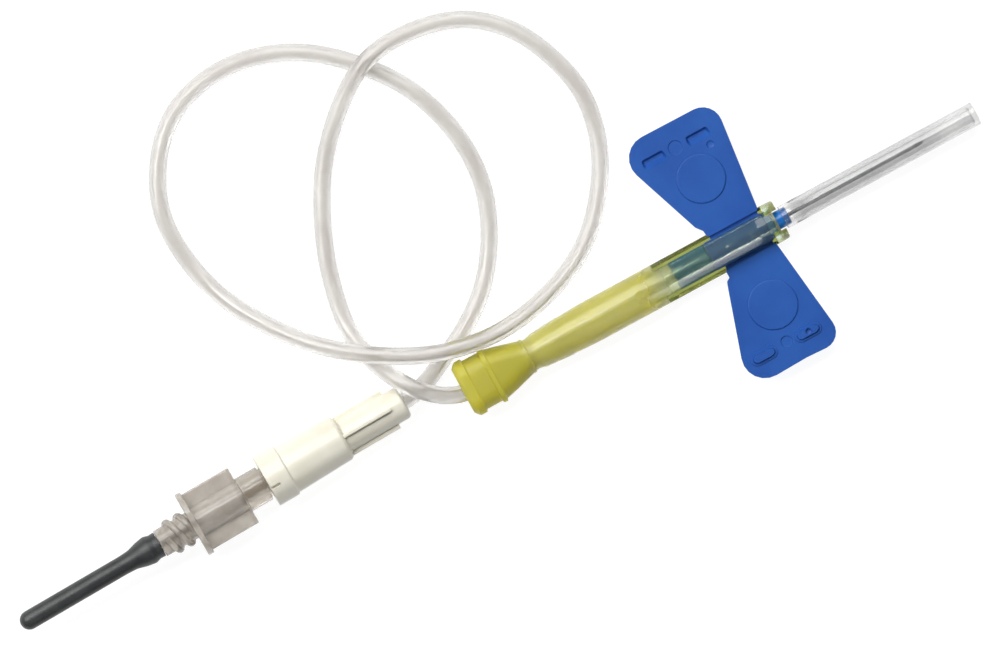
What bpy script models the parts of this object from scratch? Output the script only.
"""Winged blood collection needle with a sliding safety shield, tubing and luer adapter.

Lengths are metres, +Z is up and the set lies on the plane z = 0. The needle points along +X and the
origin is under the middle of the needle end, between the shield's rear face and the sheath's tip.
"""
import math

import bmesh
import bpy
from mathutils import Matrix, Vector

# Clearances
SEAT_GAP = 0.0003         # between faces that meet end to end
FIT_GAP = 0.00015         # around a piece that is held in a bore
NEEDLE_GAP = 0.0001       # around a steel tube in its bore
SLIDE_GAP = 0.00025       # around a piece that slides or folds
FLOOR_GAP = 0.00002       # under the plug, so that it stays above the base plane

# Safety shield, from its rear face forwards
SHIELD_LENGTH = 0.04635
SHIELD_RADIUS = 0.00282   # outer radius of the round front part, also the height of the axis
SHIELD_WALL = 0.0005
RAISED_BAND = 0.00013     # how far collar and grip rib stand over the flare, top and bottom
BAND_WIDENING = 0.00032   # how far they stand out at the sides
BAND_EDGE = 0.00015       # slope at their edges
FLARE_HALF_WIDTH = 0.0035
FLARE_CORNER = 0.0022
FLARE_LENGTH = 0.0100     # rear face to the neck
COLLAR_LENGTH_REAR = 0.0017
COLLAR_CHAMFER = 0.0007
COLLAR_TOP_CHAMFER = 0.00023
GRIP_RIB_START = 0.0039
GRIP_RIB_LENGTH = 0.0008
NECK_RADIUS = 0.0021
NECK_EASE = 0.00045       # short run into the neck
SWELL_LENGTH = 0.0085     # neck to full tube radius
SWELL_SHARES = ((0.12, 0.36), (0.4, 0.62), (0.7, 0.85))   # of its length, and of its growth there
SLOT_SETBACK = 0.00485    # neck to the rear end of the side slots
FRONT_RADIUS = 0.00266
FRONT_TAPER = 0.0034
FRONT_RING_LENGTH = 0.0017
FRONT_NOTCH_WIDTH = 0.0027
FRONT_NOTCH_DEPTH = 0.0007
WINDOW_LENGTH = 0.0159    # front part of the side slots, which is cut higher
WINDOW_TOP = 0.0021       # over the axis

# Needle, hub and nose
NEEDLE_REACH = 0.0197     # steel in front of the nose
NEEDLE_RADIUS = 0.000255
NEEDLE_BORE = 0.00013
NEEDLE_BEVEL = math.radians(18.0)
NEEDLE_SEAT = 0.0080      # steel held inside the hub
NOSE_REACH = 0.0011       # nose in front of the shield
NOSE_RADIUS = 0.0012
NOSE_CHAMFER = 0.0002
HUB_CORE_RADIUS = 0.0013
HUB_FLOW_RADIUS = 0.00051
HUB_TAIL_RADIUS = 0.00155
HUB_TAIL_LENGTH = 0.0050
TUBE_SOCKET_DEPTH = 0.0045

# Wings and their sleeve
ROOT_LENGTH = 0.0075
ROOT_THICKNESS = 0.00075
WING_SLEEVE_LENGTH = 0.0084
WING_SLEEVE_RADIUS = 0.00195
WING_THICKNESS = 0.0009
WING_TIP = 0.01765        # from the axis to the wing's tip edge
WING_NOTCH = 0.0004       # small step behind the root
WING_NOTCH_SLOPE = 0.00024
WING_BEND_REAR = 0.00176  # the rear edge bends here, this far behind the root
WING_BEND_OUT = 0.00325   # and this far out from the hinge
WING_BEND_RADIUS = 0.006
WING_TIP_REAR = 0.0042    # how far the tip reaches behind the root
WING_TIP_LENGTH = 0.00283  # the last part of the rear edge, up to the tip's corner
WING_TIP_FLARE = 0.00025  # how much further back the corner itself lies
WING_TIP_FRONT = 0.0011   # how far it reaches in front of the root
WING_TIP_RADIUS = 0.0032
WING_SWEEP = 0.0003       # the left tip lies back by this much, the right tip forward
PEG_SPACING = 0.0064
PEG_ROW = 0.0144          # from the axis to the row of pegs
PEG_LENGTH = 0.0034
PEG_WIDTH = 0.0015
PEG_CREST = 0.00035       # how far the peg narrows on each side
PEG_HEIGHT = 0.00045
RECESS_LENGTH = 0.0033
RECESS_WIDTH = 0.0013
RECESS_DEPTH = 0.00045

# Needle sheath
SHEATH_LENGTH = 0.02815
SHEATH_RADIUS = 0.00155
SHEATH_WALL = 0.0002
SHEATH_SOCKET = 0.0018    # wide mouth that fits the nose
SHEATH_NARROW_RADIUS = 0.0009
SHEATH_CONE = 0.0012
SHEATH_END_WALL = 0.00155
SHEATH_END_ROUND = 0.0002

# Tubing
TUBE_RADIUS = 0.00112
TUBE_STEP = 0.0062        # longest spacing of the tube's points
TUBE_TURN = 0.55          # radians of bend that also call for a point

# Tube connector, from its rear face, where the tube leaves it
CONNECTOR_LENGTH = 0.0204
LUG_RING_LENGTH = 0.0029
LUG_RING_RADIUS = 0.00355
LUG_NOTCH_LENGTH = 0.0014
LUG_NOTCH_WIDTH = 0.0004
LUG_NOTCH_DEPTH = 0.0005
LUG_NOTCH_ANGLE = math.radians(18.0)
BARREL_FRONT_RADIUS = 0.00330
BARREL_REAR_RADIUS = 0.00308
BARREL_EASE = 0.0002      # small steps that round the barrel's ends
REAR_BARREL_LENGTH = 0.0088
REAR_BARREL_RADIUS = 0.0022
REAR_BARREL_ROUND = 0.0005
SHOULDER_LENGTH = 0.0006
RIB_RADIUS = 0.00275
RIB_WIDTH = 0.0005
RIB_SETBACK = 0.0020      # plain end behind the ribs
LUER_MOUTH_RADIUS = 0.00215
LUER_TAPER = 0.03         # loss of radius for each metre of length
LUER_DEPTH = 0.0090
FLOW_RADIUS = 0.0006
CONNECTOR_SOCKET_DEPTH = 0.0062

# Luer adapter, from the male luer's shoulder towards the rubber sleeve
MALE_LUER_LENGTH = 0.0075
LUER_COLLAR_LENGTH = 0.0031
LUER_COLLAR_RADIUS = 0.00237
GRIP_LENGTH = 0.00695
GRIP_RADIUS = 0.0021
FIN_HALF_WIDTH = 0.00404
FIN_THICKNESS = 0.0010
FLANGE_THICKNESS = 0.0008
FLANGE_HALF_WIDTH = 0.00445
FLANGE_HALF_HEIGHT = 0.0032
THREAD_ZONE = 0.0046
THREAD_CORE_RADIUS = 0.00185
THREAD_CREST_RADIUS = 0.0024
THREAD_RIDGE_RADIUS = 0.00045
THREAD_LEAD = 0.00333
THREAD_STARTS = 2
THREAD_RUN_IN = 0.0011    # plain end before the ridges
LUER_GAP = 0.00015        # between the two luer cones
NIPPLE_LENGTH = 0.0022
NIPPLE_RADIUS = 0.0011
ADAPTER_FLOW_RADIUS = 0.0008

# Tube-side needle and its rubber sleeve
TUBE_NEEDLE_RADIUS = 0.00041
TUBE_NEEDLE_BORE = 0.00026
TUBE_NEEDLE_SEAT = 0.0092  # steel held inside the adapter, from the nipple's end
TIP_ROOM = 0.0006          # between the needle's tip and the sleeve's end wall
SLEEVE_LENGTH = 0.0207
SLEEVE_RADIUS = 0.00125
SLEEVE_END_WALL = 0.0009
SLEEVE_BORE = 0.0007
SLEEVE_MOUTH_WALL = 0.0005
SLEEVE_SWELL = 0.00005     # the fold behind the mouth stands over the mouth by this much
SLEEVE_LIP = 0.0008        # mouth's edge to the waist in front of the fold
SLEEVE_FOLD = 0.0014       # mouth's edge to the top of the fold
SLEEVE_NECK = 0.0009       # from the nipple's end to where the sleeve closes on the needle
SLEEVE_TIP_ROUND = 0.0009

# Where the plug end lies: the middle of the connector's rear face, in plan, and its direction
PLUG_X = -0.0447
PLUG_Y = 0.00256
PLUG_YAW = math.radians(1.85)

# Facets, and the small lengths that keep the cuts and joins sound
ROUND_STEPS = 24
SMALL_STEPS = 16
CORNER_STEPS = 6
TIP_STEPS = 4
WIRE_RESOLUTION = 2
PATH_STEPS = 24           # points of the fine path between two points of the route
OVER = 0.001              # how far a cutter runs past what it cuts
WELD = 1e-6
SECTION_FLAT = 0.00003    # flat that stays between two rounded corners
SINK = 0.00002            # keeps two surfaces from lying face to face where they join

# Places along the needle axis that follow from the sizes above
OVERALL = SHIELD_LENGTH + SEAT_GAP + SHEATH_LENGTH
SHIELD_REAR = -OVERALL / 2
SHIELD_FRONT = SHIELD_REAR + SHIELD_LENGTH
SLOT_FRONT = SHIELD_FRONT - FRONT_RING_LENGTH
ROOT_FRONT = SLOT_FRONT - SLIDE_GAP
ROOT_REAR = ROOT_FRONT - ROOT_LENGTH
NOSE_FRONT = SHIELD_FRONT + NOSE_REACH
NEEDLE_TIP = NOSE_FRONT + NEEDLE_REACH
NECK = SHIELD_REAR + FLARE_LENGTH
SLOT_REAR = NECK + SLOT_SETBACK
WINDOW_REAR = SLOT_FRONT - WINDOW_LENGTH
SLEEVE_REAR = ROOT_FRONT - WING_SLEEVE_LENGTH
HUB_TAIL_FRONT = SLEEVE_REAR - FIT_GAP
HUB_REAR = HUB_TAIL_FRONT - HUB_TAIL_LENGTH
AXIS_HEIGHT = SHIELD_RADIUS
SHEATH_BORE = SHEATH_RADIUS - SHEATH_WALL
HINGE_OFFSET = SHIELD_RADIUS + SLIDE_GAP + WING_THICKNESS / 2
ROOT_TIP = HINGE_OFFSET - WING_THICKNESS / 2 - NEEDLE_GAP
SHIELD_BORE = SHIELD_RADIUS - SHIELD_WALL
RING_BORE = SHEATH_RADIUS + SLIDE_GAP
TAIL_BORE = HUB_TAIL_RADIUS + FIT_GAP
SLOT_HALF_HEIGHT = ROOT_THICKNESS / 2 + SLIDE_GAP

# Places along the plug's own axis: 0 is the connector's rear face and the sleeve's tip is negative
MOUTH = -CONNECTOR_LENGTH
SHOULDER = MOUTH - SEAT_GAP
COLLAR_START = SHOULDER - LUER_COLLAR_LENGTH
GRIP_START = COLLAR_START - GRIP_LENGTH
FLANGE_START = GRIP_START - FLANGE_THICKNESS
THREAD_START = FLANGE_START - THREAD_ZONE
NIPPLE_START = THREAD_START - NIPPLE_LENGTH
SLEEVE_MOUTH = THREAD_START - SLIDE_GAP
SLEEVE_TIP = SLEEVE_MOUTH - SLEEVE_LENGTH
TUBE_NEEDLE_TIP = SLEEVE_TIP + SLEEVE_END_WALL + TIP_ROOM
TUBE_NEEDLE_END = NIPPLE_START + TUBE_NEEDLE_SEAT
RIB_REAR = -RIB_SETBACK
LUG_REAR = MOUTH + LUG_RING_LENGTH
PLUG_TILT = math.atan2(LUG_RING_RADIUS - RIB_RADIUS, RIB_REAR - LUG_REAR)
PLUG_HEIGHT = RIB_RADIUS * math.cos(PLUG_TILT) + RIB_REAR * math.sin(PLUG_TILT) + FLOOR_GAP

# The tube's route between the hub and the connector, in metres. It leaves the flare, climbs over the
# strand at the connector, dips under the long lower strand and lies on the surface in two loops.
TUBE_ROUTE = [
    (-0.0080, 0.0000, 0.00282), (-0.0150, 0.0000, 0.00282), (-0.0220, 0.0000, 0.00282),
    (-0.0280, 0.0000, 0.00284), (-0.0335, 0.0000, 0.00310), (-0.0376, 0.0002, 0.00375),
    (-0.0396, 0.0009, 0.00430), (-0.0412, 0.0019, 0.00485), (-0.0428, 0.0034, 0.00510),
    (-0.0440, 0.0052, 0.00478), (-0.0450, 0.0072, 0.00395), (-0.0459, 0.0097, 0.00285),
    (-0.0465, 0.0128, 0.00185), (-0.0463, 0.0165, 0.00135), (-0.0443, 0.0243, 0.00115),
    (-0.0396, 0.0335, 0.00130), (-0.0334, 0.0400, 0.00260), (-0.0279, 0.0432, 0.00390),
    (-0.0218, 0.0438, 0.00290), (-0.0149, 0.0421, 0.00145), (-0.0100, 0.0381, 0.00115),
    (-0.0070, 0.0325, 0.00115), (-0.0057, 0.0263, 0.00115), (-0.0068, 0.0200, 0.00115),
    (-0.0098, 0.0144, 0.00130), (-0.0150, 0.0090, 0.00210), (-0.0225, 0.0056, 0.00370),
    (-0.0305, 0.0045, 0.00520), (-0.0389, 0.0062, 0.00590), (-0.0477, 0.0113, 0.00560),
    (-0.0545, 0.0182, 0.00340), (-0.0595, 0.0273, 0.00160), (-0.0606, 0.0376, 0.00115),
    (-0.0576, 0.0447, 0.00115), (-0.0531, 0.0490, 0.00115), (-0.0476, 0.0509, 0.00115),
    (-0.0413, 0.0507, 0.00115), (-0.0350, 0.0482, 0.00115), (-0.0293, 0.0434, 0.00115),
    (-0.0247, 0.0369, 0.00115), (-0.0224, 0.0294, 0.00115), (-0.0225, 0.0224, 0.00115),
    (-0.0249, 0.0160, 0.00115), (-0.0290, 0.0104, 0.00125), (-0.0336, 0.0069, 0.00145),
    (-0.0378, 0.0048, 0.00185), (-0.0410, 0.0033, 0.00230),
]


def clear_scene():
    for obj in list(bpy.data.objects):
        bpy.data.objects.remove(obj, do_unlink=True)


def new_collection(name):
    collection = bpy.data.collections.new(name)
    bpy.context.scene.collection.children.link(collection)
    return collection


def make_material(name, colour, roughness, metallic=0.0, alpha=1.0):
    material = bpy.data.materials.new(name)
    material.use_nodes = True
    shader = material.node_tree.nodes["Principled BSDF"]
    shader.inputs["Base Color"].default_value = (*colour, 1.0)
    shader.inputs["Roughness"].default_value = roughness
    shader.inputs["Metallic"].default_value = metallic
    shader.inputs["Alpha"].default_value = alpha
    material.diffuse_color = (*colour, alpha)
    return material


def new_object(name, mesh, collection=None, parent=None):
    obj = bpy.data.objects.new(name, mesh)
    (collection or PARTS).objects.link(obj)
    obj.parent = parent
    return obj


def new_empty(name, location, rotation=(0.0, 0.0, 0.0)):
    empty = bpy.data.objects.new(name, None)
    empty.location = location
    empty.rotation_euler = rotation
    empty.empty_display_size = 0.002
    PARTS.objects.link(empty)
    return empty


def mesh_from(bm, name):
    mesh = bpy.data.meshes.new(name)
    bm.to_mesh(mesh)
    bm.free()
    return mesh


def as_cutter(obj):
    obj.hide_render = True
    obj.display_type = "WIRE"
    return obj


def combine(target, other, operation):
    """Join the other object to the target, or cut it out, with a Boolean."""
    modifier = target.modifiers.new(other.name, "BOOLEAN")
    modifier.operation = operation
    modifier.object = other
    modifier.solver = "EXACT"


def box(name, low, high, collection=None, parent=None):
    """A box between two corners, with its size in its mesh."""
    low, high = Vector(low), Vector(high)
    bm = bmesh.new()
    bmesh.ops.create_cube(bm, size=1.0)
    bmesh.ops.scale(bm, vec=high - low, verts=bm.verts)
    bmesh.ops.translate(bm, vec=(low + high) / 2, verts=bm.verts)
    return new_object(name, mesh_from(bm, name), collection, parent)


def turned(name, profile, steps=ROUND_STEPS, closed=False, collection=None, parent=None):
    """Turn a profile of (place along X, radius) about the X axis.

    The profile starts at its front end and runs back along the outside. A closed profile returns
    along its bore, and an open one starts and ends on the axis.
    """
    bm = bmesh.new()
    verts = [bm.verts.new((radius, 0.0, place)) for place, radius in profile]
    for first, second in zip(verts, verts[1:]):
        bm.edges.new((first, second))
    if closed:
        bm.edges.new((verts[-1], verts[0]))
    obj = new_object(name, mesh_from(bm, name), collection, parent)
    obj.rotation_euler = (0.0, math.pi / 2, 0.0)
    screw = obj.modifiers.new("Turn", "SCREW")
    screw.axis = "Z"
    screw.steps = steps
    screw.render_steps = steps
    screw.use_merge_vertices = True
    screw.merge_threshold = WELD
    return obj


def rounded_section(place, half_width, half_height, corner):
    """Points of a rounded rectangle across the X axis, counted round from +Y towards +Z."""
    corner = min(corner, half_width - SECTION_FLAT, half_height - SECTION_FLAT)
    points = []
    for quarter in range(4):
        side_y = 1 if quarter in (0, 3) else -1
        side_z = 1 if quarter in (0, 1) else -1
        for step in range(CORNER_STEPS + 1):
            angle = (quarter + step / CORNER_STEPS) * math.pi / 2
            y = side_y * (half_width - corner) + corner * math.cos(angle)
            z = side_z * (half_height - corner) + corner * math.sin(angle)
            points.append((place, y, z))
    return points


def loft(name, sections, collection=None, parent=None):
    """Skin rounded rectangles, given from the rear forwards, and close both ends."""
    bm = bmesh.new()
    rings = [[bm.verts.new(point) for point in rounded_section(*section)] for section in sections]
    count = len(rings[0])
    for rear, front in zip(rings, rings[1:]):
        for i in range(count):
            j = (i + 1) % count
            bm.faces.new((rear[i], rear[j], front[j], front[i]))
    bm.faces.new(list(reversed(rings[0])))
    bm.faces.new(rings[-1])
    bmesh.ops.recalc_face_normals(bm, faces=bm.faces)
    return new_object(name, mesh_from(bm, name), collection, parent)


def rounded_outline(corners):
    """Outline through corners given as (x, y, radius), with an arc at each corner that has one."""
    points = []
    for i, (x, y, radius) in enumerate(corners):
        corner = Vector((x, y))
        if radius <= 0:
            points.append(corner)
            continue
        before = (Vector(corners[i - 1][:2]) - corner).normalized()
        after = (Vector(corners[(i + 1) % len(corners)][:2]) - corner).normalized()
        half_angle = before.angle(after) / 2
        middle = corner + (before + after).normalized() * (radius / math.sin(half_angle))
        start = corner + before * (radius / math.tan(half_angle)) - middle
        end = corner + after * (radius / math.tan(half_angle)) - middle
        sweep = start.angle_signed(end)
        steps = max(2, round(abs(sweep) / (math.pi / 2) * CORNER_STEPS))
        for step in range(steps + 1):
            points.append(middle + Matrix.Rotation(-sweep * step / steps, 2) @ start)
    return points


def mesh_of_curve(curve_object, name, collection=None, parent=None):
    """Turn a curve object into a welded mesh object in the same place."""
    bpy.context.view_layer.update()
    evaluated = curve_object.evaluated_get(bpy.context.evaluated_depsgraph_get())
    mesh = bpy.data.meshes.new_from_object(evaluated)
    mesh.name = name
    bm = bmesh.new()
    bm.from_mesh(mesh)
    bmesh.ops.remove_doubles(bm, verts=bm.verts, dist=WELD)
    bmesh.ops.recalc_face_normals(bm, faces=bm.faces)
    bm.to_mesh(mesh)
    bm.free()
    obj = new_object(name, mesh, collection, parent)
    obj.matrix_basis = curve_object.matrix_basis.copy()
    bpy.data.objects.remove(curve_object, do_unlink=True)
    return obj


def plate(name, outline, thickness, collection=None, parent=None):
    """A flat plate in the XY plane, centred on z = 0, from a 2D outline."""
    curve = bpy.data.curves.new(name, "CURVE")
    curve.dimensions = "2D"
    curve.fill_mode = "BOTH"
    curve.extrude = thickness / 2
    spline = curve.splines.new("POLY")
    spline.points.add(len(outline) - 1)
    for point, place in zip(spline.points, outline):
        point.co = (place[0], place[1], 0.0, 1.0)
    spline.use_cyclic_u = True
    return mesh_of_curve(new_object(name + "_outline", curve, collection), name, collection, parent)


def round_wire(name, points, radius, parent=None):
    """A round tube along points, as a curve object with filled caps."""
    curve = bpy.data.curves.new(name, "CURVE")
    curve.dimensions = "3D"
    curve.bevel_depth = radius
    curve.bevel_resolution = WIRE_RESOLUTION
    curve.use_fill_caps = True
    spline = curve.splines.new("POLY")
    spline.points.add(len(points) - 1)
    for point, place in zip(spline.points, points):
        point.co = (*place, 1.0)
    return new_object(name, curve, None, parent)


def smooth_path(points):
    """Fine points of a centripetal spline through the given points."""
    points = [Vector(point) for point in points]
    ends = [points[0] * 2 - points[1]], [points[-1] * 2 - points[-2]]
    points = ends[0] + points + ends[1]
    fine = []
    for i in range(1, len(points) - 2):
        p0, p1, p2, p3 = points[i - 1:i + 3]
        t1 = math.sqrt((p1 - p0).length)
        t2 = t1 + math.sqrt((p2 - p1).length)
        t3 = t2 + math.sqrt((p3 - p2).length)
        for step in range(PATH_STEPS):
            t = t1 + (t2 - t1) * step / PATH_STEPS
            a1 = p0 * ((t1 - t) / t1) + p1 * (t / t1)
            a2 = p1 * ((t2 - t) / (t2 - t1)) + p2 * ((t - t1) / (t2 - t1))
            a3 = p2 * ((t3 - t) / (t3 - t2)) + p3 * ((t - t2) / (t3 - t2))
            b1 = a1 * ((t2 - t) / t2) + a2 * (t / t2)
            b2 = a2 * ((t3 - t) / (t3 - t1)) + a3 * ((t - t1) / (t3 - t1))
            fine.append(b1 * ((t2 - t) / (t2 - t1)) + b2 * ((t - t1) / (t2 - t1)))
    fine.append(points[-2])
    return fine


def spaced_points(fine, step, turn):
    """Points along a fine path, closer together where it bends, with both of its ends."""
    measure = [0.0]
    for i in range(1, len(fine)):
        length = (fine[i] - fine[i - 1]).length
        bend = (fine[i] - fine[i - 1]).angle(fine[i + 1] - fine[i]) if i < len(fine) - 1 else 0.0
        measure.append(measure[-1] + length / step + bend / turn)
    count = max(2, round(measure[-1]))
    points = []
    k = 0
    for i in range(count + 1):
        target = measure[-1] * i / count
        while k < len(fine) - 2 and measure[k + 1] < target:
            k += 1
        share = (target - measure[k]) / (measure[k + 1] - measure[k])
        points.append(fine[k].lerp(fine[k + 1], share))
    return points


def set_material(obj, material, smooth_angle=35.0):
    """Give an object its material and smooth shading that keeps its edges."""
    obj.data.materials.clear()
    obj.data.materials.append(material)
    if isinstance(obj.data, bpy.types.Mesh):
        obj.data.shade_smooth()
        obj.data.set_sharp_from_angle(angle=math.radians(smooth_angle))


def steel_tube(name, rear, tip, radius, bore, bevel, parent):
    """A steel tube along X with a slanted tip at one end. The tip's opening faces up."""
    forward = tip > rear
    low, high = min(rear, tip), max(rear, tip)
    profile = [(high, bore), (high, radius), (low, radius), (low, bore)]
    tube = turned(name, profile, SMALL_STEPS, closed=True, parent=parent)
    slant = 2 * radius / math.tan(bevel)
    size = 4 * slant
    knife = box(name + "_bevel", (-size, -size, 0.0), (size, size, size), CUTTERS, parent)
    knife.location = (tip - slant if forward else tip + slant, 0.0, radius)
    knife.rotation_euler = (0.0, bevel if forward else -bevel, 0.0)
    combine(tube, as_cutter(knife), "DIFFERENCE")
    return tube


def shield_outside():
    """Sections of the shield's outside: collar, flare, grip rib, taper, neck and swelling tube."""
    rear = SHIELD_REAR
    collar_end = rear + COLLAR_LENGTH_REAR
    rib_start = rear + GRIP_RIB_START
    rib_end = rib_start + GRIP_RIB_LENGTH
    body = (FLARE_HALF_WIDTH, SHIELD_RADIUS, FLARE_CORNER)
    band = (FLARE_HALF_WIDTH + BAND_WIDENING, SHIELD_RADIUS + RAISED_BAND, FLARE_CORNER)
    rear_end = (band[0] - COLLAR_CHAMFER, band[1] - COLLAR_TOP_CHAMFER, FLARE_CORNER - COLLAR_TOP_CHAMFER)
    eased = NECK_RADIUS + BAND_EDGE
    full = (SHIELD_RADIUS, SHIELD_RADIUS, SHIELD_RADIUS)
    front = (FRONT_RADIUS, FRONT_RADIUS, FRONT_RADIUS)
    swell = []
    for share, growth in SWELL_SHARES:
        radius = NECK_RADIUS + (SHIELD_RADIUS - NECK_RADIUS) * growth
        swell.append((NECK + SWELL_LENGTH * share, radius, radius, radius))
    return [
        (rear, *rear_end), (rear + COLLAR_CHAMFER, *band), (collar_end - BAND_EDGE, *band),
        (collar_end, *body), (rib_start, *body), (rib_start + BAND_EDGE, *band),
        (rib_end - BAND_EDGE, *band), (rib_end, *body), (NECK - NECK_EASE, eased, eased, NECK_RADIUS),
        (NECK, NECK_RADIUS, NECK_RADIUS, NECK_RADIUS), *swell, (NECK + SWELL_LENGTH, *full),
        (SHIELD_FRONT - FRONT_TAPER, *full), (SHIELD_FRONT, *front),
    ]


def shield_inside():
    """Sections of the shield's hollow, which runs out of both ends."""
    flare = (FLARE_HALF_WIDTH - SHIELD_WALL, SHIELD_RADIUS - SHIELD_WALL, FLARE_CORNER - SHIELD_WALL)
    tail = (TAIL_BORE, TAIL_BORE, TAIL_BORE)
    sleeve_bore = WING_SLEEVE_RADIUS + FIT_GAP
    passing = (sleeve_bore, sleeve_bore, sleeve_bore)
    bore = (SHIELD_BORE, SHIELD_BORE, SHIELD_BORE)
    ring = (RING_BORE, RING_BORE, RING_BORE)
    flare_end = SHIELD_REAR + GRIP_RIB_START + GRIP_RIB_LENGTH
    swell_start = NECK + SWELL_LENGTH * SWELL_SHARES[0][0]
    return [
        (SHIELD_REAR - OVER, *flare), (flare_end, *flare), (NECK - FIT_GAP, *tail),
        (swell_start, *tail), (SLOT_REAR - SLIDE_GAP, *passing), (NECK + SWELL_LENGTH, *bore),
        (SLOT_FRONT, *bore), (SLOT_FRONT + SINK, *ring), (SHIELD_FRONT + OVER, *ring),
    ]


def make_shield(material):
    frame = new_empty("shield_slide", (0.0, 0.0, AXIS_HEIGHT))
    shield = loft("safety_shield", shield_outside(), parent=frame)
    wide = FLARE_HALF_WIDTH * 2
    slot_low = (SLOT_REAR, -wide, -SLOT_HALF_HEIGHT)
    slot_high = (SLOT_FRONT, wide, SLOT_HALF_HEIGHT)
    window_low = (WINDOW_REAR, -wide, 0.0)
    window_high = (SLOT_FRONT, wide, WINDOW_TOP)
    notch_low = (SHIELD_FRONT - FRONT_NOTCH_DEPTH, -FRONT_NOTCH_WIDTH / 2, -wide)
    notch_high = (SHIELD_FRONT + FRONT_NOTCH_DEPTH, FRONT_NOTCH_WIDTH / 2, wide)
    floor_low = (SHIELD_REAR - OVER, -wide, -wide)
    floor_high = (SHIELD_FRONT + OVER, wide, -AXIS_HEIGHT)
    cutters = [
        loft("shield_hollow", shield_inside(), CUTTERS, frame),
        box("shield_slot", slot_low, slot_high, CUTTERS, frame),
        box("shield_window", window_low, window_high, CUTTERS, frame),
        box("shield_notch", notch_low, notch_high, CUTTERS, frame),
        box("shield_floor", floor_low, floor_high, CUTTERS, frame),
    ]
    for cutter in cutters:
        combine(shield, as_cutter(cutter), "DIFFERENCE")
    set_material(shield, material)


def make_wing_hub(frame, material):
    """The soft sleeve on the needle hub, with the two root tabs that pass through the slots."""
    profile = [(ROOT_FRONT, 0.0), (ROOT_FRONT, WING_SLEEVE_RADIUS), (SLEEVE_REAR, WING_SLEEVE_RADIUS),
               (SLEEVE_REAR, 0.0)]
    hub = turned("wing_hub", profile, parent=frame)
    half = ROOT_THICKNESS / 2
    tabs = box("root_tabs", (ROOT_REAR, -ROOT_TIP, -half), (ROOT_FRONT - NEEDLE_GAP, ROOT_TIP, half),
               CUTTERS, frame)
    bore = HUB_CORE_RADIUS + FIT_GAP
    profile = [(ROOT_FRONT + OVER, 0.0), (ROOT_FRONT + OVER, bore), (SLEEVE_REAR - OVER, bore),
               (SLEEVE_REAR - OVER, 0.0)]
    hole = turned("wing_hub_bore", profile, collection=CUTTERS, parent=frame)
    combine(hub, as_cutter(tabs), "UNION")
    combine(hub, as_cutter(hole), "DIFFERENCE")
    set_material(hub, material)


def wing_outline(sweep):
    """Outline of a wing that points along +Y from its hinge line, y = 0 there."""
    tip = WING_TIP - HINGE_OFFSET
    straight = tip - WING_TIP_LENGTH
    corner_rear = ROOT_REAR - WING_TIP_REAR - WING_TIP_FLARE

    def swept(x, y):
        return x + sweep * y / tip

    corners = [
        (ROOT_REAR, 0.0, 0.0),
        (ROOT_REAR, WING_NOTCH, 0.0),
        (ROOT_REAR - WING_NOTCH, WING_NOTCH + WING_NOTCH_SLOPE, 0.0),
        (ROOT_REAR - WING_BEND_REAR, WING_BEND_OUT, WING_BEND_RADIUS),
        (swept(ROOT_REAR - WING_TIP_REAR, straight), straight, 0.0),
        (swept(corner_rear, tip), tip, WING_TIP_RADIUS),
        (swept(ROOT_FRONT + WING_TIP_FRONT, tip), tip, WING_TIP_RADIUS),
        (ROOT_FRONT - NEEDLE_GAP, 0.0, 0.0),
    ]
    return rounded_outline(corners)


def make_wing(name, side, material):
    """One wing with its rounded root edge on the hinge line. side is 1 on the left, -1 on the right."""
    frame = new_empty(name + "_hinge", (0.0, side * HINGE_OFFSET, AXIS_HEIGHT))
    sweep = -side * WING_SWEEP
    outline = [(x, side * y) for x, y in wing_outline(sweep)]
    wing = plate(name, outline, WING_THICKNESS, parent=frame)
    knuckle_radius = WING_THICKNESS / 2 - SINK
    profile = [(ROOT_FRONT - NEEDLE_GAP, 0.0), (ROOT_FRONT - NEEDLE_GAP, knuckle_radius),
               (ROOT_REAR, knuckle_radius), (ROOT_REAR, 0.0)]
    combine(wing, as_cutter(turned(name + "_knuckle", profile, SMALL_STEPS, collection=CUTTERS,
                                   parent=frame)), "UNION")
    row = PEG_ROW - HINGE_OFFSET
    middle = (ROOT_REAR + ROOT_FRONT) / 2 - (WING_TIP_REAR - WING_TIP_FRONT) / 2
    middle += sweep * row / (WING_TIP - HINGE_OFFSET)
    top = WING_THICKNESS / 2
    for index, place in enumerate((middle - PEG_SPACING / 2, middle + PEG_SPACING / 2)):
        if side > 0:
            piece = pad(name + "_recess_%d" % index, RECESS_LENGTH, RECESS_WIDTH, 0.0,
                        top - RECESS_DEPTH, top + RECESS_DEPTH, frame)
        else:
            piece = pad(name + "_peg_%d" % index, PEG_LENGTH, PEG_WIDTH, PEG_CREST,
                        top - PEG_HEIGHT / 2, top + PEG_HEIGHT, frame)
        piece.location = (place, side * row, 0.0)
        combine(wing, as_cutter(piece), "DIFFERENCE" if side > 0 else "UNION")
    set_material(wing, material)


def pad(name, length, width, narrowing, low, high, parent):
    """An oblong with round ends that narrows towards its top."""
    bm = bmesh.new()
    rings = []
    for height, shrink in ((low, 0.0), (high, narrowing)):
        radius = width / 2 - shrink
        reach = (length - width) / 2
        ring = []
        for end in (1, -1):
            for step in range(CORNER_STEPS + 1):
                angle = (step / CORNER_STEPS - 0.5) * math.pi + (0.0 if end > 0 else math.pi)
                place = (end * reach + radius * math.cos(angle), radius * math.sin(angle), height)
                ring.append(bm.verts.new(place))
        rings.append(ring)
    lower, upper = rings
    count = len(lower)
    for i in range(count):
        j = (i + 1) % count
        bm.faces.new((lower[i], lower[j], upper[j], upper[i]))
    bm.faces.new(list(reversed(lower)))
    bm.faces.new(upper)
    return new_object(name, mesh_from(bm, name), CUTTERS, parent)


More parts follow.
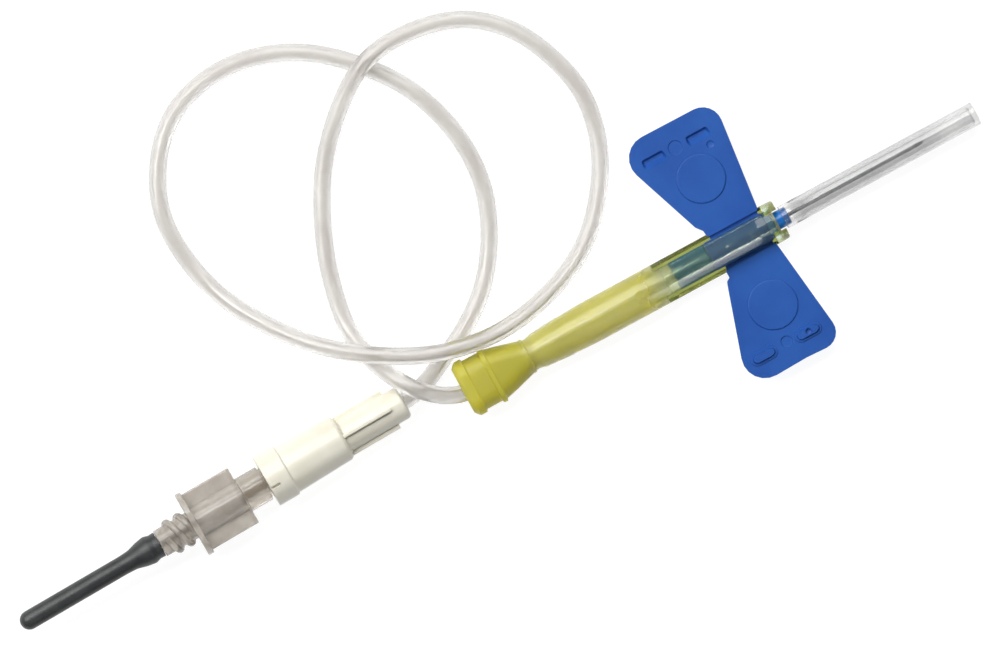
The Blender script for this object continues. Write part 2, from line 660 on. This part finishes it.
def make_needle_hub(frame, material):
    """Tail that takes the tubing, core inside the soft sleeve, and the nose in front of the shield."""
    bore = NEEDLE_RADIUS + NEEDLE_GAP
    socket = TUBE_RADIUS + FIT_GAP
    socket_end = HUB_REAR + TUBE_SOCKET_DEPTH
    needle_end = NOSE_FRONT - NEEDLE_SEAT - SEAT_GAP
    profile = [
        (NOSE_FRONT, bore), (NOSE_FRONT, NOSE_RADIUS - NOSE_CHAMFER),
        (NOSE_FRONT - NOSE_CHAMFER, NOSE_RADIUS), (SLOT_FRONT, NOSE_RADIUS),
        (SLOT_FRONT, HUB_CORE_RADIUS), (HUB_TAIL_FRONT, HUB_CORE_RADIUS),
        (HUB_TAIL_FRONT, HUB_TAIL_RADIUS), (HUB_REAR, HUB_TAIL_RADIUS), (HUB_REAR, socket),
        (socket_end, socket), (socket_end, HUB_FLOW_RADIUS), (needle_end, HUB_FLOW_RADIUS),
        (needle_end, bore),
    ]
    set_material(turned("needle_hub", profile, closed=True, parent=frame), material)


def make_sheath(frame, material):
    """Clear tube, open at the mouth, with a wide socket for the nose and a narrow bore beyond it."""
    mouth = SHIELD_FRONT + SEAT_GAP
    tip = mouth + SHEATH_LENGTH
    cone_start = mouth + SHEATH_SOCKET
    cone_end = cone_start + SHEATH_CONE
    end_wall = tip - SHEATH_END_WALL
    profile = [
        (tip, 0.0), (tip, SHEATH_RADIUS - SHEATH_END_ROUND), (tip - SHEATH_END_ROUND, SHEATH_RADIUS),
        (mouth, SHEATH_RADIUS), (mouth, SHEATH_BORE), (cone_start, SHEATH_BORE),
        (cone_end, SHEATH_NARROW_RADIUS), (end_wall, SHEATH_NARROW_RADIUS), (end_wall, 0.0),
    ]
    set_material(turned("needle_sheath", profile, parent=frame), material)


def make_tubing(plug, material):
    """The tube, from the hub's socket along its chosen route into the connector's socket."""
    start = HUB_REAR + TUBE_SOCKET_DEPTH - SEAT_GAP
    bpy.context.view_layer.update()
    inside = CONNECTOR_SOCKET_DEPTH - SEAT_GAP
    route = [(start, 0.0, AXIS_HEIGHT)] + TUBE_ROUTE
    for depth in (0.0, inside / 2, inside):
        route.append(plug.matrix_world @ Vector((-depth, 0.0, 0.0)))
    path = [Vector((x, y, max(z, TUBE_RADIUS + FLOOR_GAP))) for x, y, z in smooth_path(route)]
    points = spaced_points(path, TUBE_STEP, TUBE_TURN)
    set_material(round_wire("tubing", points, TUBE_RADIUS), material)


def make_connector(plug, material):
    """Female luer with a lug ring, a tapering barrel and a ribbed rear barrel round the tube."""
    rear_start = -REAR_BARREL_LENGTH
    shoulder_start = rear_start - SHOULDER_LENGTH
    chamfer = REAR_BARREL_ROUND * (1 - math.cos(math.pi / 4))
    profile = [
        (0.0, 0.0), (0.0, REAR_BARREL_RADIUS - REAR_BARREL_ROUND),
        (-chamfer, REAR_BARREL_RADIUS - chamfer),
        (-REAR_BARREL_ROUND, REAR_BARREL_RADIUS), (rear_start, REAR_BARREL_RADIUS),
        (rear_start - SHOULDER_LENGTH / 2, BARREL_REAR_RADIUS - BARREL_EASE),
        (shoulder_start, BARREL_REAR_RADIUS), (LUG_REAR + BARREL_EASE, BARREL_FRONT_RADIUS),
        (LUG_REAR, LUG_RING_RADIUS), (MOUTH, LUG_RING_RADIUS), (MOUTH, 0.0),
    ]
    connector = turned("tube_connector", profile, parent=plug)
    half = RIB_WIDTH / 2
    rib_front = rear_start - SHOULDER_LENGTH / 2
    ribs = [
        box("side_ribs", (rib_front, -RIB_RADIUS, -half), (RIB_REAR, RIB_RADIUS, half), CUTTERS, plug),
        box("top_ribs", (rib_front, -half, -RIB_RADIUS), (RIB_REAR, half, RIB_RADIUS), CUTTERS, plug),
    ]
    for rib in ribs:
        combine(connector, as_cutter(rib), "UNION")
    luer_end = MOUTH + LUER_DEPTH
    luer_end_radius = LUER_MOUTH_RADIUS - LUER_TAPER * LUER_DEPTH
    socket = TUBE_RADIUS + FIT_GAP
    profile = [
        (OVER, 0.0), (OVER, socket), (-CONNECTOR_SOCKET_DEPTH, socket),
        (-CONNECTOR_SOCKET_DEPTH, FLOW_RADIUS), (luer_end, FLOW_RADIUS), (luer_end, luer_end_radius),
        (MOUTH - OVER, LUER_MOUTH_RADIUS + LUER_TAPER * OVER), (MOUTH - OVER, 0.0),
    ]
    combine(connector, as_cutter(turned("connector_bore", profile, collection=CUTTERS, parent=plug)),
            "DIFFERENCE")
    half = LUG_NOTCH_WIDTH / 2
    notch = box("lug_notch", (MOUTH - OVER, -half, LUG_RING_RADIUS - LUG_NOTCH_DEPTH),
                (MOUTH + LUG_NOTCH_LENGTH, half, LUG_RING_RADIUS + OVER), CUTTERS, plug)
    notch.rotation_euler = (LUG_NOTCH_ANGLE, 0.0, 0.0)
    combine(connector, as_cutter(notch), "DIFFERENCE")
    set_material(connector, material)


def thread_ridge(index, plug):
    """One start of the right-hand thread as a round-topped helical ridge."""
    middle_radius = THREAD_CREST_RADIUS - THREAD_RIDGE_RADIUS
    start = THREAD_START + THREAD_RUN_IN
    end = FLANGE_START + THREAD_RIDGE_RADIUS / 2
    turns = (end - start) / THREAD_LEAD
    steps = math.ceil(turns * SMALL_STEPS)
    points = []
    for step in range(steps + 1):
        angle = 2 * math.pi * (turns * step / steps + index / THREAD_STARTS)
        place = start + (end - start) * step / steps
        points.append((place, -middle_radius * math.sin(angle), middle_radius * math.cos(angle)))
    wire = round_wire("thread_wire", points, THREAD_RIDGE_RADIUS)
    return mesh_of_curve(wire, "thread_ridge_%d" % index, CUTTERS, plug)


def make_adapter(plug, material):
    """Nipple, thread, oval flange, grip with two fins, collar and male luer, with a through bore."""
    male_tip = SHOULDER + MALE_LUER_LENGTH
    male_root_radius = LUER_MOUTH_RADIUS - LUER_GAP
    male_tip_radius = male_root_radius - LUER_TAPER * MALE_LUER_LENGTH
    profile = [
        (male_tip, 0.0), (male_tip, male_tip_radius), (SHOULDER, male_root_radius),
        (SHOULDER, LUER_COLLAR_RADIUS), (COLLAR_START, LUER_COLLAR_RADIUS),
        (COLLAR_START, GRIP_RADIUS), (GRIP_START, GRIP_RADIUS), (GRIP_START, THREAD_CORE_RADIUS),
        (THREAD_START, THREAD_CORE_RADIUS), (THREAD_START, NIPPLE_RADIUS),
        (NIPPLE_START, NIPPLE_RADIUS), (NIPPLE_START, 0.0),
    ]
    adapter = turned("luer_adapter", profile, parent=plug)
    half = FIN_THICKNESS / 2
    flange = (FLANGE_HALF_WIDTH, FLANGE_HALF_HEIGHT, FLANGE_HALF_HEIGHT)
    additions = [
        loft("adapter_flange", [(FLANGE_START, *flange), (GRIP_START, *flange)], CUTTERS, plug),
        box("adapter_fins", (GRIP_START - FLANGE_THICKNESS / 2, -FIN_HALF_WIDTH, -half),
            (COLLAR_START, FIN_HALF_WIDTH, half), CUTTERS, plug),
    ]
    additions += [thread_ridge(index, plug) for index in range(THREAD_STARTS)]
    for addition in additions:
        combine(adapter, as_cutter(addition), "UNION")
    bore = TUBE_NEEDLE_RADIUS + NEEDLE_GAP
    needle_end = TUBE_NEEDLE_END + SEAT_GAP
    profile = [
        (male_tip + OVER, 0.0), (male_tip + OVER, ADAPTER_FLOW_RADIUS),
        (needle_end, ADAPTER_FLOW_RADIUS), (needle_end, bore), (NIPPLE_START - OVER, bore),
        (NIPPLE_START - OVER, 0.0),
    ]
    hole = turned("adapter_bore", profile, SMALL_STEPS, collection=CUTTERS, parent=plug)
    combine(adapter, as_cutter(hole), "DIFFERENCE")
    set_material(adapter, material)


def make_rubber_sleeve(plug, material):
    """Closed rubber tip, straight run over the needle and a fold over the adapter's nipple.

    The profile runs from the inside of the end wall forwards along the bore, round the mouth and back
    along the outside to the tip.
    """
    mouth_bore = NIPPLE_RADIUS + FIT_GAP
    mouth_radius = mouth_bore + SLEEVE_MOUTH_WALL
    fold_radius = mouth_radius + SLEEVE_SWELL
    end_wall = SLEEVE_TIP + SLEEVE_END_WALL
    neck = NIPPLE_START - SLEEVE_NECK
    profile = [
        (end_wall, 0.0), (end_wall, SLEEVE_BORE), (neck, SLEEVE_BORE),
        (NIPPLE_START - SEAT_GAP, mouth_bore), (SLEEVE_MOUTH, mouth_bore), (SLEEVE_MOUTH, mouth_radius),
        (SLEEVE_MOUTH - SLEEVE_LIP, mouth_radius - SLEEVE_SWELL), (SLEEVE_MOUTH - SLEEVE_FOLD, fold_radius),
        (NIPPLE_START, fold_radius - SLEEVE_SWELL), (neck, SLEEVE_RADIUS + SLEEVE_SWELL * 2),
        (neck - SLEEVE_NECK, SLEEVE_RADIUS), (SLEEVE_TIP + SLEEVE_TIP_ROUND, SLEEVE_RADIUS),
    ]
    tip_flat = SLEEVE_RADIUS - SLEEVE_TIP_ROUND
    for step in range(1, TIP_STEPS + 1):
        angle = math.pi / 2 * step / TIP_STEPS
        profile.append((SLEEVE_TIP + SLEEVE_TIP_ROUND * (1 - math.sin(angle)),
                        tip_flat + SLEEVE_TIP_ROUND * math.cos(angle)))
    profile.append((SLEEVE_TIP, 0.0))
    set_material(turned("rubber_sleeve", profile, SMALL_STEPS, parent=plug), material)


clear_scene()
PARTS = new_collection("blood_collection_needle")
CUTTERS = new_collection("cutters")

yellow = make_material("shield_yellow", (0.50, 0.46, 0.06), 0.25, alpha=0.8)
wing_blue = make_material("wing_blue", (0.035, 0.12, 0.42), 0.4)
nose_blue = make_material("nose_blue", (0.03, 0.22, 0.66), 0.3)
steel = make_material("needle_steel", (0.35, 0.36, 0.38), 0.25, metallic=1.0)
clear_plastic = make_material("clear_plastic", (0.75, 0.75, 0.74), 0.1, alpha=0.4)
tube_plastic = make_material("tube_plastic", (0.68, 0.67, 0.63), 0.3, alpha=0.6)
ivory = make_material("ivory_plastic", (0.82, 0.80, 0.70), 0.4)
cloudy_plastic = make_material("cloudy_plastic", (0.45, 0.40, 0.37), 0.25, alpha=0.8)
rubber = make_material("sleeve_rubber", (0.05, 0.053, 0.057), 0.6)

hub_frame = new_empty("needle_axis", (0.0, 0.0, AXIS_HEIGHT))
sheath_frame = new_empty("sheath_slide", (0.0, 0.0, AXIS_HEIGHT))
plug_frame = new_empty("plug_axis", (PLUG_X, PLUG_Y, PLUG_HEIGHT), (0.0, PLUG_TILT, PLUG_YAW))

make_shield(yellow)
make_wing_hub(hub_frame, wing_blue)
make_wing("wing_left", 1, wing_blue)
make_wing("wing_right", -1, wing_blue)
make_needle_hub(hub_frame, nose_blue)
set_material(steel_tube("patient_needle", NOSE_FRONT - NEEDLE_SEAT, NEEDLE_TIP, NEEDLE_RADIUS,
                        NEEDLE_BORE, NEEDLE_BEVEL, hub_frame), steel)
make_sheath(sheath_frame, clear_plastic)
make_tubing(plug_frame, tube_plastic)
make_connector(plug_frame, ivory)
make_adapter(plug_frame, cloudy_plastic)
set_material(steel_tube("tube_needle", TUBE_NEEDLE_END, TUBE_NEEDLE_TIP, TUBE_NEEDLE_RADIUS,
                        TUBE_NEEDLE_BORE, NEEDLE_BEVEL, plug_frame), steel)
make_rubber_sleeve(plug_frame, rubber)
